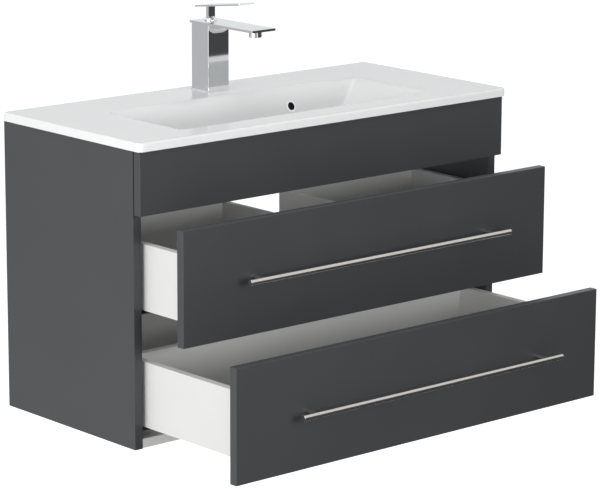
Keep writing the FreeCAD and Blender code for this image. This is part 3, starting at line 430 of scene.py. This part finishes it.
@dataclass
class Basin:
    """The ceramic inset basin: a thin slab with rolled edges and a trough bowl, in millimetres."""

    corner: float = 12.0
    roll: float = 3.5
    slab: float = 18.0
    wall: float = 12.0
    rim_half: float = 342.0
    rim_front: float = -394.0
    rim_back: float = -149.0
    depth: float = 105.0
    side_lean: float = 105.0
    back_lean: float = 40.0
    front_lean: float = 28.0
    crease: float = 26.0
    lip: float = 8.0
    back_lip: float = 30.0
    drain_y: float = -271.0
    drain_radius: float = 21.5
    tap_y: float = -62.7
    tap_radius: float = 17.5
    overflow_side: float = 142.0
    overflow_drop: float = 40.0
    overflow_radius: float = 10.5
    low: Vector = field(default_factory=Vector)
    high: Vector = field(default_factory=Vector)

    def build(self) -> None:
        """Raise the two skins, join them round the edge, cut the holes and add the overflow throat."""
        self.low, self.high = (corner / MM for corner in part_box("basin"))
        shape = bmesh.new()
        across, along = self.lines_across(), self.lines_along()
        self.skin(shape, across, along, self.upper_height)
        self.skin(shape, across, along, self.lower_height)
        bmesh.ops.bridge_loops(shape, edges=[edge for edge in shape.edges if edge.is_boundary])
        bmesh.ops.recalc_face_normals(shape, faces=shape.faces)
        bmesh.ops.scale(shape, verts=shape.verts, vec=(MM, MM, MM))
        basin = link("basin_body", shape, "cabinet", Coat.CERAMIC)
        self.bore(basin, Vector((0, self.drain_y, self.high.z - self.depth)), Vector((0, 0, 1)),
                  self.drain_radius)
        self.bore(basin, Vector((0, self.tap_y, self.high.z)), Vector((0, 0, 1)), self.tap_radius)
        self.bore(basin, self.overflow_place(), self.overflow_axis(), self.overflow_radius, 8.0)
        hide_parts("basin")
        self.throat()

    def lines_across(self) -> list[float]:
        """Grid lines along X, close together at the rolled edge and the leaning walls."""
        edge, foot = self.high.x, self.rim_half - self.side_lean
        half = steps([edge, edge - 0.27, edge - 1.03, edge - 2.16, edge - self.roll, edge - self.corner,
                      self.rim_half + 12, foot - 18, 0],
                     [1, 1, 1, 1, 3, 16, 3.2, 14])
        return [-value for value in half] + half[-2::-1]

    def lines_along(self) -> list[float]:
        """Grid lines along Y, from the front edge to the wall."""
        near, far = self.low.y, self.high.y
        return steps([near, near + 0.27, near + 1.03, near + 2.16, near + self.roll, near + self.corner,
                      self.rim_front - 6, self.rim_front + self.front_lean + 12,
                      self.rim_back - self.back_lean - 14, self.rim_back + 16,
                      far - self.corner, far - self.roll, far - 2.16, far - 1.03, far - 0.27, far],
                     [1, 1, 1, 1, 3, 10, 1.3, 9, 1.6, 12, 3, 1, 1, 1, 1])

    def skin(self, shape: bmesh.types.BMesh, across: list[float], along: list[float],
             height: Callable[[float, float], float]) -> None:
        """Add one skin: an even grid, drawn out to these lines and raised to a height.

        Args:
            shape: the mesh to add to.
            across: the places of the lines along X.
            along: the places of the lines along Y.
            height: gives the height at a place.
        """
        made = bmesh.ops.create_grid(shape, x_segments=len(across) - 1, y_segments=len(along) - 1, size=0.5)
        for vert in made["verts"]:
            x = across[round((vert.co.x + 0.5) * (len(across) - 1))]
            y = along[round((vert.co.y + 0.5) * (len(along) - 1))]
            x, y = self.round_corner(x, y)
            vert.co = (x, y, height(x, y))

    def round_corner(self, x: float, y: float) -> tuple[float, float]:
        """Draw the square corner of the grid in to the slab's round one."""
        middle = (self.low.y + self.high.y) / 2
        reach_x, reach_y = self.high.x - self.corner, (self.high.y - self.low.y) / 2 - self.corner
        over_x, over_y = abs(x) - reach_x, abs(y - middle) - reach_y
        if over_x <= 0 or over_y <= 0:
            return x, y
        square = 2 * self.corner ** 2
        round_x = over_x * math.sqrt(1 - over_y ** 2 / square)
        round_y = over_y * math.sqrt(1 - over_x ** 2 / square)
        return math.copysign(reach_x + round_x, x), middle + math.copysign(reach_y + round_y, y - middle)

    def from_edge(self, x: float, y: float) -> float:
        """How far a place lies inside the slab's outline."""
        over_x = abs(x) - (self.high.x - self.corner)
        over_y = abs(y - (self.low.y + self.high.y) / 2) - ((self.high.y - self.low.y) / 2 - self.corner)
        if over_x > 0 and over_y > 0:
            return self.corner - math.hypot(over_x, over_y)
        return self.corner - max(over_x, over_y)

    def bowl(self, x: float, y: float, thick: float) -> tuple[float, float]:
        """The bowl's height at a place.

        Args:
            x: the place along X.
            y: the place along Y.
            thick: how far under the glazed face it is measured.

        Returns:
            The height, and how much the back wall alone makes it.
        """
        def leaning(inward: float, lean: float) -> float:
            """The height of a wall at a distance in from its rim."""
            slope = self.depth / lean
            return self.high.z - inward * slope - thick * math.hypot(1, slope)

        side = leaning(self.rim_half - abs(x), self.side_lean)
        front = leaning(y - self.rim_front, self.front_lean)
        back = leaning(self.rim_back - y, self.back_lean)
        floor = self.high.z - self.depth - thick
        others = max(side, front)
        walls = soft_max(soft_max(side, front, self.crease), back, self.crease)
        return soft_max(walls, floor, self.crease), min(max((back - others) / 60, 0.0), 1.0)

    def upper_height(self, x: float, y: float) -> float:
        """The glazed face: deck, rolled edge, rim and bowl."""
        inside = self.from_edge(x, y)
        if inside < self.roll:
            rise = math.sqrt(max(self.roll ** 2 - (self.roll - inside) ** 2, 0.0))
            return self.high.z - self.roll + rise
        height, by_back = self.bowl(x, y, 0.0)
        return soft_min(self.high.z, height, self.lip + (self.back_lip - self.lip) * by_back)

    def lower_height(self, x: float, y: float) -> float:
        """The underside: the flat of the slab and the outside of the bowl."""
        return max(soft_min(self.high.z - self.slab, self.bowl(x, y, self.wall)[0], self.lip), self.low.z)

    def overflow_axis(self) -> Vector:
        """Straight out of the back wall, into the bowl."""
        return Vector((0, -self.depth, self.back_lean)).normalized()

    def overflow_place(self) -> Vector:
        """The middle of the overflow hole on the back wall."""
        return Vector((self.overflow_side, self.rim_back - self.overflow_drop * self.back_lean / self.depth,
                       self.high.z - self.overflow_drop))

    def bore(self, basin: bpy.types.Object, place: Vector, axis: Vector, radius: float,
             reach: float = 40.0) -> None:
        """Bore a round hole through the basin.

        Args:
            basin: the basin.
            place: the middle of the hole, in millimetres.
            axis: the way that it runs.
            radius: its radius, in millimetres.
            reach: how far the drill goes in front of and behind the place.
        """
        shape = bmesh.new()
        turn = axis.to_track_quat("Z", "Y").to_matrix().to_4x4()
        bmesh.ops.create_cone(shape, cap_ends=True, segments=64, radius1=radius * MM, radius2=radius * MM,
                              depth=2 * reach * MM, matrix=Matrix.Translation(place * MM) @ turn)
        mesh = bpy.data.meshes.new("drill")
        shape.to_mesh(mesh)
        shape.free()
        drill = bpy.data.objects.new("drill", mesh)
        bpy.context.scene.collection.objects.link(drill)
        cut = basin.modifiers.new("bore", "BOOLEAN")
        cut.operation, cut.solver, cut.object = "DIFFERENCE", "EXACT", drill
        ready = bpy.data.meshes.new_from_object(basin.evaluated_get(bpy.context.evaluated_depsgraph_get()))
        basin.modifiers.clear()
        basin.data = ready
        bpy.data.objects.remove(drill)

    def throat(self) -> None:
        """A cup just inside the ring's sleeve, coloured near black as painted shade of the deep overflow
        channel.
        """
        outer, lip, start, end = 8.8 * MM, 1.0 * MM, 2.5 * MM, 8.0 * MM
        axis = self.overflow_axis()
        shape = bmesh.new()
        turn = axis.to_track_quat("Z", "Y").to_matrix().to_4x4()
        place = self.overflow_place() * MM - axis * (start + end) / 2
        bmesh.ops.create_cone(shape, cap_ends=True, segments=48, radius1=outer, radius2=outer,
                              depth=end - start, matrix=Matrix.Translation(place) @ turn)
        mouth = max(shape.faces, key=lambda face: face.calc_center_median().dot(axis))
        bmesh.ops.inset_region(shape, faces=[mouth], thickness=lip)
        bmesh.ops.translate(shape, verts=mouth.verts, vec=-axis * (end - start) * 0.7)
        # Painted shade: the cup is coloured near black so that the overflow hole reads as deep and dark.
        link("overflow_throat", shape, "cabinet", Coat.PAINTED_SHADE_CLAY, 30.0)


# ---------------------------------------------------------------- studio

@dataclass
class Studio:
    """Pale floor and backdrop, soft lamps and the camera."""

    floor_drop: float = 0.30
    floor_size: float = 14.0
    floor_glow: float = 0.70
    floor_gleam: float = 0.12
    soft_light: float = 0.40
    dark_card: str = "#4A4A4C"
    pale_card: str = "#C8C9CB"
    back_card: str = "#EEF0F1"
    lens_mm: float = 176.36
    sensor_mm: float = 36.0
    camera_place: tuple[float, float, float] = (-3.97065, -4.90570, 1.14943)
    heading_deg: float = 41.12879
    look_down_deg: float = 12.80391
    roll_deg: float = 0.21415

    def build(self) -> None:
        """Set the stage, the light and the view."""
        self.floor()
        self.card("dark_card_front", (1.15, -1.75, -0.40), (-0.64, 0.735, 0.225), 2.8, 1.0, self.dark_card)
        self.card("dark_card_low", (0.6, -2.3, -0.83), (0, 0, 1), 5.0, 3.2, self.dark_card)
        self.card("pale_card_left", (-2.2, 1.9, -0.2), (0.64, -0.735, 0.1), 3.4, 1.8, self.pale_card)
        self.card("pale_card_back", (1.9, 2.1, 0.9), (-0.64, -0.735, -0.225), 4.0, 1.8, self.back_card)
        self.world()
        self.lamp("key_left", (-3.2, -0.6, 0.6), 2.6, 54.0)
        self.lamp("front", (-0.5, -3.1, 0.30), 0.6, 27.0)
        self.lamp("top", (-0.5, -0.9, 3.0), 2.4, 17.0)
        self.camera()
        bpy.context.scene.view_settings.view_transform = "Standard"

    def floor(self) -> None:
        """A pale floor below the hung unit, white to the camera but for the shadow."""
        low = Vector(CAD_BOX[0])
        mesh = bpy.data.meshes.new("floor")
        shape = bmesh.new()
        bmesh.ops.create_grid(shape, x_segments=1, y_segments=1, size=self.floor_size / 2)
        bmesh.ops.translate(shape, verts=shape.verts, vec=(0, 0, low.z - self.floor_drop))
        shape.to_mesh(mesh)
        shape.free()
        floor = bpy.data.objects.new("floor", mesh)
        bpy.context.scene.collection.objects.link(floor)
        floor.data.materials.append(self.floor_material())

    def show_to_mirrors(self, tree: bpy.types.NodeTree, plain: bpy.types.NodeSocket,
                        bright: bpy.types.NodeSocket) -> bpy.types.NodeSocket:
        """Show one shader to the eye, to mirrors and through glass, and the plain one to all else."""
        rays = add_node(tree, "ShaderNodeLightPath")
        seen = add_node(tree, "ShaderNodeMath", {0: rays.outputs["Is Camera Ray"],
                                                 1: rays.outputs["Is Glossy Ray"]}, operation="MAXIMUM")
        seen = add_node(tree, "ShaderNodeMath", {0: seen.outputs[0],
                                                 1: rays.outputs["Is Transmission Ray"]}, operation="MAXIMUM")
        return add_node(tree, "ShaderNodeMixShader", {0: seen.outputs[0], 1: plain, 2: bright}).outputs[0]

    def floor_material(self) -> bpy.types.Material:
        """Matt white paint that shows a little brighter than it lights."""
        made = bpy.data.materials.new("matt white studio floor")
        made.use_nodes = True
        tree = made.node_tree
        tree.nodes.clear()
        paint = add_node(tree, "ShaderNodeBsdfDiffuse", {"Color": linear("#F2F2F2")}).outputs[0]
        rays = add_node(tree, "ShaderNodeLightPath")
        strength = add_node(tree, "ShaderNodeMix", {0: rays.outputs["Is Glossy Ray"], 2: self.floor_glow,
                                                    3: self.floor_gleam})
        glow = add_node(tree, "ShaderNodeEmission", {"Color": (1, 1, 1, 1), "Strength": strength.outputs[0]})
        both = add_node(tree, "ShaderNodeAddShader", {0: paint, 1: glow.outputs[0]}).outputs[0]
        add_node(tree, "ShaderNodeOutputMaterial", {"Surface": self.show_to_mirrors(tree, paint, both)})
        return made

    def card(self, name: str, place: tuple[float, float, float], facing: tuple[float, float, float],
             width: float, height: float, colour: str) -> None:
        """A card that only mirrors see, to shade the faces of the metal and the lacquer.

        Args:
            name: what the card is called.
            place: its middle.
            facing: the way that it faces.
            width: its width.
            height: its height.
            colour: the colour that it shows, as sRGB hex.
        """
        made = bpy.data.materials.new(name)
        made.use_nodes = True
        tree = made.node_tree
        tree.nodes.clear()
        shade = add_node(tree, "ShaderNodeEmission", {"Color": linear(colour), "Strength": 1.0})
        add_node(tree, "ShaderNodeOutputMaterial", {"Surface": shade.outputs[0]})
        mesh = bpy.data.meshes.new(name)
        shape = bmesh.new()
        turn = Vector(facing).normalized().to_track_quat("Z", "Y").to_matrix().to_4x4()
        bmesh.ops.create_grid(shape, x_segments=1, y_segments=1, size=0.5,
                              matrix=Matrix.Translation(place) @ turn
                              @ Matrix.Diagonal((width, height, 1.0, 1.0)))
        shape.to_mesh(mesh)
        shape.free()
        card = bpy.data.objects.new(name, mesh)
        bpy.context.scene.collection.objects.link(card)
        card.data.materials.append(made)
        card.visible_camera = card.visible_diffuse = card.visible_shadow = False
        card.visible_transmission = card.visible_volume_scatter = False

    def world(self) -> None:
        """A white surround to the eye and to mirrors, and a soft grey one as light."""
        world = bpy.data.worlds.new("studio")
        bpy.context.scene.world = world
        world.use_nodes = True
        tree = world.node_tree
        tree.nodes.clear()
        white = add_node(tree, "ShaderNodeBackground", {"Color": (1, 1, 1, 1), "Strength": 1.0}).outputs[0]
        soft = add_node(tree, "ShaderNodeBackground",
                        {"Color": (1, 1, 1, 1), "Strength": self.soft_light}).outputs[0]
        add_node(tree, "ShaderNodeOutputWorld", {"Surface": self.show_to_mirrors(tree, soft, white)})

    def lamp(self, name: str, place: tuple[float, float, float], size: float, power: float) -> None:
        """A square soft lamp that faces the middle of the unit."""
        data = bpy.data.lights.new(name, "AREA")
        data.shape = "SQUARE"
        data.size = size
        data.energy = power
        lamp = bpy.data.objects.new(name, data)
        lamp.location = place
        aim = Vector((0, -0.3, 0)) - Vector(place)
        lamp.rotation_mode = "QUATERNION"
        lamp.rotation_quaternion = aim.to_track_quat("-Z", "Y")
        bpy.context.scene.collection.objects.link(lamp)

    def camera(self) -> None:
        """A long lens from the left and a little above, level but for a trace of roll."""
        turn, dip, roll = (math.radians(v) for v in (self.heading_deg, self.look_down_deg, self.roll_deg))
        ahead = Vector((math.sin(turn) * math.cos(dip), math.cos(turn) * math.cos(dip), -math.sin(dip)))
        right = ahead.cross(Vector((0, 0, 1))).normalized()
        above = right.cross(ahead)
        side = right * math.cos(roll) + above * math.sin(roll)
        top = above * math.cos(roll) - right * math.sin(roll)
        data = bpy.data.cameras.new("camera")
        data.lens = self.lens_mm
        data.sensor_width = self.sensor_mm
        data.clip_end = 60.0
        camera = bpy.data.objects.new("camera", data)
        camera.matrix_world = Matrix.Translation(self.camera_place) @ Matrix(
            (side, top, -ahead)).transposed().to_4x4()
        bpy.context.scene.collection.objects.link(camera)
        bpy.context.scene.camera = camera


def main() -> None:
    """Dress the frame, add the modelled pieces and set the studio."""
    logging.basicConfig(level=logging.INFO)
    dress_cad_nodes()
    Basin().build()
    Studio().build()


if __name__ == "__main__":
    main()
